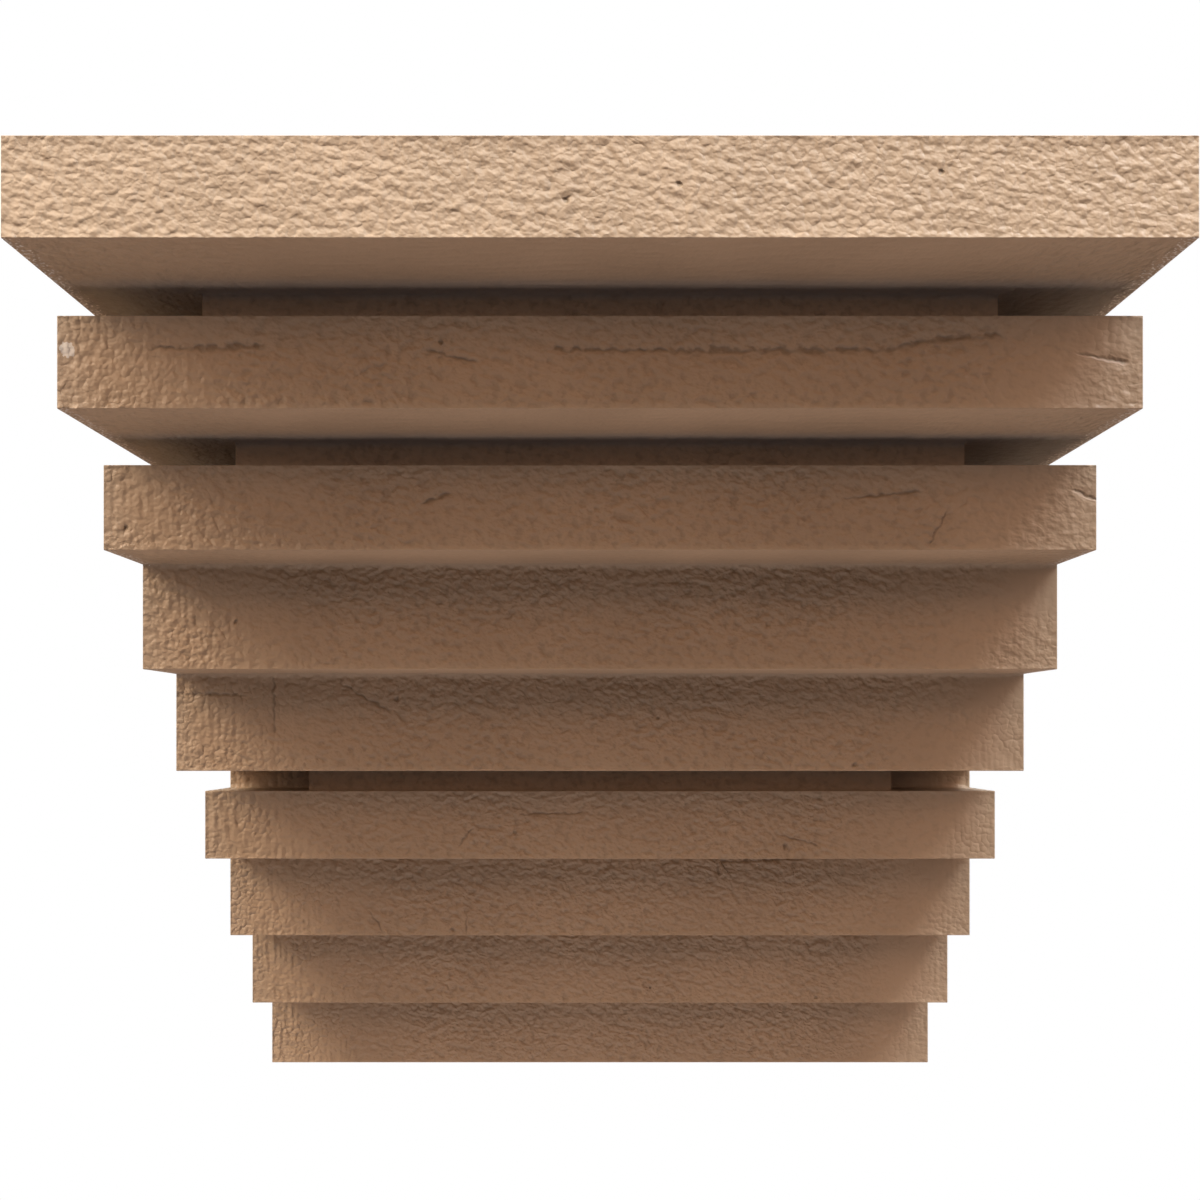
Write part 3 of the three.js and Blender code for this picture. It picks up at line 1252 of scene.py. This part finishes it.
@dataclass(frozen=True)
class CorbelCasting:
    """The one-piece moulding: its mesh, its relief and its finish.

    Attributes:
        sizes: The form.
        round_radius: The radius of the rounded arrises.
        round_steps: How many flats make that round.
        panel_cell: The size of the cells of the flat back and top.
        turn_limit: The cosine between two faces below which the edge between them is an arris.
    """

    sizes: CorbelSizes
    round_radius: float = 0.3 * MM
    round_steps: int = 2
    panel_cell: float = 14.0 * MM
    turn_limit: float = 0.5

    def panel(self, skin: Skin, axis: Axis, first_new: int) -> tuple[np.ndarray, np.ndarray]:
        """Closes the skin's open flat side with triangles.

        The side's border vertices and a coarse grid of new ones inside it are joined by the
        triangulation whose circles hold no other vertex.

        Args:
            skin: The skin, open on the high side of the axis.
            axis: The axis that the side looks along.
            first_new: The number that the first new vertex gets.

        Returns:
            The new vertices, and three vertices for each triangle.
        """
        level = skin.points[:, axis].max()
        border = np.nonzero(skin.points[:, axis] > level - HAIR)[0]
        flat = [(axis + 1) % 3, (axis + 2) % 3]
        outline = skin.points[border][:, flat]
        low, high = outline.min(axis=0), outline.max(axis=0)
        counts = np.round((high - low) / self.panel_cell).astype(int)
        rows = [np.linspace(a, b, n + 1)[1:-1] for a, b, n in zip(low, high, counts)]
        inner = np.stack(np.meshgrid(*rows, indexing="ij"), axis=-1).reshape(-1, 2)
        places = np.concatenate([outline, inner]).tolist()
        _, _, faces, origins, _, _ = delaunay_2d_cdt(places, [], [], 0, HAIR)
        numbers = np.concatenate([border, first_new + np.arange(len(inner))])
        origin = np.array([o[0] for o in origins])
        added = np.empty((len(inner), 3))
        added[:, axis] = level
        added[:, flat] = inner
        return added, numbers[origin[np.array(faces)]]

    def mark_arrises(self, mesh: bpy.types.Mesh) -> int:
        """Gives every outer arris a bevel weight of 1.

        An edge is one if its two faces look different ways and the second's middle lies behind
        the first's plane.

        Args:
            mesh: The closed mesh, before its relief.

        Returns:
            How many edges are arrises.
        """
        loop_edge = read_numbers(mesh.loops, "edge_index")
        normals, middles = read_vectors(mesh.polygons, "normal"), read_vectors(mesh.polygons, "center")
        loop_face = np.repeat(np.arange(len(mesh.polygons)), read_numbers(mesh.polygons, "loop_total"))
        first, second = loop_face[np.argsort(loop_edge, kind="stable").reshape(-1, 2)].T
        turned = np.einsum("ij,ij->i", normals[first], normals[second]) < self.turn_limit
        behind = np.einsum("ij,ij->i", middles[second] - middles[first], normals[first]) < -HAIR
        weight = mesh.attributes.new("bevel_weight_edge", "FLOAT", "EDGE")
        weight.data.foreach_set("value", (turned & behind).astype(np.float32))
        return int((turned & behind).sum())

    def build(self) -> bpy.types.Object:
        """Builds the moulding and hangs it on the part's body.

        Returns:
            The finished piece.
        """
        plan = CellPlan(self.sizes)
        skin = Skin.around(self.sizes, plan.planes(), open_at=(Axis.Y, Axis.Z))
        start = len(skin.points)
        back_points, back_faces = self.panel(skin, Axis.Y, start)
        top_points, top_faces = self.panel(skin, Axis.Z, start + len(back_points))
        points = np.concatenate([skin.points, back_points, top_points])
        faces = skin.quads.tolist() + back_faces.tolist() + top_faces.tolist()
        mesh = bpy.data.meshes.new("corbel_casting")
        mesh.from_pydata(points.tolist(), [], faces)
        arris_count = self.mark_arrises(mesh)
        panels = ((back_points, Axis.Y), (top_points, Axis.Z))
        flat = [np.tile(np.eye(3)[axis], (len(added), 1)) for added, axis in panels]
        MarkMap(self.sizes).write(mesh, points, np.concatenate([skin.outward, *flat]))
        panel_facing = [np.full(len(back_faces), Axis.Y + 1), np.full(len(top_faces), Axis.Z + 1)]
        write_flat_map(mesh, points, np.concatenate([skin.facing, *panel_facing]))
        relief = CastRelief(self.sizes)
        low, high = Skin.around(self.sizes, plan.coarse_planes()).arrises()
        depth = relief.depth(skin.points) * relief.fade(skin.points, low, high)
        points[:start] -= skin.outward * depth[:, None]
        mesh.vertices.foreach_set("co", points.astype(np.float32).ravel())
        mesh.polygons.foreach_set("use_smooth", np.ones(len(mesh.polygons), bool))
        mesh.update()
        mesh.materials.append(TanPrimer().material())
        piece = add_object("corbel_casting", mesh)
        rounding = piece.modifiers.new("rounded_arrises", "BEVEL")
        rounding.width = self.round_radius
        rounding.segments = self.round_steps
        rounding.limit_method = "WEIGHT"
        rounding.harden_normals = True
        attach(piece, BODY)
        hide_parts(NODE)
        log.info("%s: %d faces, %d arris edges", piece.name, len(mesh.polygons), arris_count)
        return piece


@dataclass(frozen=True)
class Softbox:
    """A rectangular soft light.

    Attributes:
        name: What it is called.
        place: Where its middle is, in metres.
        aim: The point that it looks at.
        size: Its width and height in metres.
        power: Its power in watts.
        colour: Its colour.
    """

    name: str
    place: tuple[float, float, float]
    aim: tuple[float, float, float]
    size: tuple[float, float]
    power: float
    colour: tuple[float, float, float] = (1.0, 1.0, 1.0)

    def build(self) -> bpy.types.Object:
        """Makes the light and turns it to its aim.

        Returns:
            The light, which the camera doesn't see.
        """
        data = bpy.data.lights.new(self.name, "AREA")
        data.shape = "RECTANGLE"
        data.size, data.size_y = self.size
        data.energy = self.power
        data.color = self.colour
        lamp = add_object(self.name, data)
        lamp.location = self.place
        way = Vector(self.aim) - Vector(self.place)
        lamp.rotation_euler = way.to_track_quat("-Z", "Y").to_euler()
        lamp.visible_camera = False
        log.info("light %s: %.1f W", self.name, self.power)
        return lamp


SOFTBOXES = (
    Softbox("overhead_front", (0.0, -1.05, 1.3), (0.0, -0.3, 0.12), (1.4, 0.5), 18.0, (0.91, 0.98, 1.0)),
    Softbox("left_tall", (-1.25, -0.75, 0.75), (-0.1, -0.2, 0.0), (0.5, 1.3), 9.3, (1.0, 0.77, 0.61)),
    Softbox("left_high", (-1.25, -0.75, 1.10), (-0.1, -0.2, 0.0), (0.8, 0.8), 14.3, (1.0, 0.89, 0.72)),
    Softbox("right_tall", (1.25, -0.75, 0.75), (0.1, -0.2, 0.0), (0.5, 1.3), 7.2, (1.0, 0.73, 0.60)),
    Softbox("right_steep", (1.0, -0.6, 1.40), (0.1, -0.2, 0.0), (0.6, 0.6), 18.4, (0.84, 0.93, 1.0)),
    Softbox("front_fill", (0.0, -1.9, 0.90), (0.0, -0.3, 0.10), (2.4, 0.6), 4.4, (1.0, 0.54, 0.28)),
    Softbox("level_fill", (0.0, -1.8, 0.20), (0.0, -0.2, 0.0), (2.0, 1.0), 1.7, (0.98, 0.94, 1.0)),
    Softbox("floor_pool_close", (0.0, -0.4, -0.59), (0.0, -0.4, 0.0), (0.9, 0.4), 1.25, (1.0, 0.86, 0.82)),
    Softbox("floor_pool_wide", (0.0, -1.2, -0.59), (0.0, -1.2, 0.0), (3.0, 1.6), 1.5, (0.90, 0.90, 1.0)),
    Softbox("floor_pool_under", (0.0, 0.3, -0.59), (0.0, 0.3, 0.0), (1.2, 1.0), 3.2, (1.0, 0.78, 0.67)),
    Softbox("rear_left", (-1.3, 1.3, 0.70), (0.0, -0.1, 0.0), (0.9, 0.9), 14.0, (1.0, 0.93, 0.85)),
    Softbox("rear_right", (1.3, 1.3, 0.70), (0.0, -0.1, 0.0), (0.9, 0.9), 14.0, (1.0, 0.96, 0.92)),
)


@dataclass(frozen=True)
class Studio:
    """The floor and the sky around the corbel.

    Attributes:
        floor_level: The floor's height in metres.
        floor_half: Half the floor's width.
        surround: The faint light that comes from all round.
        white: What the camera sees of the floor and the sky.
    """

    floor_level: float = -0.60
    floor_half: float = 12.0
    surround: tuple[float, float, float] = (0.010, 0.009, 0.009)
    white: tuple[float, ...] = (1.0, 1.0, 1.0, 1.0)

    def floor(self) -> bpy.types.Object:
        """Makes the pale floor, which the camera sees white and the floor pools light for.

        Returns:
            The floor.
        """
        mesh = bpy.data.meshes.new("studio_floor")
        half, level = self.floor_half, self.floor_level
        corners = [(-half, -half, level), (half, -half, level), (half, half, level), (-half, half, level)]
        mesh.from_pydata(corners, [], [(0, 1, 2, 3)])
        paint = bpy.data.materials.new("pale_floor")
        paint.use_nodes = True
        w = ShaderWriter(paint.node_tree)
        seen = w.node("ShaderNodeLightPath").outputs["Is Camera Ray"]
        shader = w.node("ShaderNodeEmission", {"Color": self.white, "Strength": seen})
        w.node("ShaderNodeOutputMaterial", {"Surface": shader.outputs[0]})
        mesh.materials.append(paint)
        piece = add_object("studio_floor", mesh)
        log.info("%s: stage", piece.name)
        return piece

    def sky(self) -> None:
        """Makes the surroundings, white to the camera and almost dark to the corbel."""
        world = bpy.data.worlds.new("white_surroundings")
        world.use_nodes = True
        w = ShaderWriter(world.node_tree)
        seen = w.node("ShaderNodeLightPath").outputs["Is Camera Ray"]
        tint = w.mix((*self.surround, 1.0), self.white, seen)
        shader = w.node("ShaderNodeBackground", {"Color": tint})
        w.node("ShaderNodeOutputWorld", {"Surface": shader.outputs[0]})
        bpy.context.scene.world = world

    def build(self) -> None:
        """Builds the floor, the surroundings and the lights."""
        self.floor()
        self.sky()
        for softbox in SOFTBOXES:
            softbox.build()
        view = bpy.context.scene.view_settings
        view.view_transform = "Standard"
        view.look = "None"


@dataclass(frozen=True)
class PhotoCamera:
    """The photograph's camera: level, square to the front and low in its own frame.

    Attributes:
        distance: How far it stands before the top tier, in metres.
        lens: Its focal length in millimetres.
        sensor: Its sensor's width in millimetres.
        shift_up: How far the lens is shifted, in sensor widths.
        nearest: The least distance that it sees, in metres.
        farthest: The greatest.
    """

    distance: float = 294.4 * MM
    lens: float = 34.75
    sensor: float = 36.0
    shift_up: float = 0.1121
    nearest: float = 0.01
    farthest: float = 50.0

    def build(self, sizes: CorbelSizes) -> bpy.types.Object:
        """Makes the camera in front of the top tier, at the corbel's mid-height.

        Args:
            sizes: The form.

        Returns:
            The camera, set as the scene's own.
        """
        data = bpy.data.cameras.new("photo_camera")
        data.lens = self.lens
        data.sensor_width = self.sensor
        data.shift_y = self.shift_up
        data.clip_start = self.nearest
        data.clip_end = self.farthest
        camera = add_object("photo_camera", data)
        camera.location = (0.0, sizes.front(0) - self.distance, 0.0)
        camera.rotation_euler = (math.radians(90), 0.0, 0.0)
        bpy.context.scene.camera = camera
        return camera


def main() -> None:
    """Builds the studio, the camera and the corbel."""
    logging.basicConfig(level=logging.INFO, format="%(name)s: %(message)s")
    sizes = CorbelSizes(tuple(cad_low), tuple(cad_high))
    Studio().build()
    PhotoCamera().build(sizes)
    CorbelCasting(sizes).build()


if __name__ == "__main__":
    main()
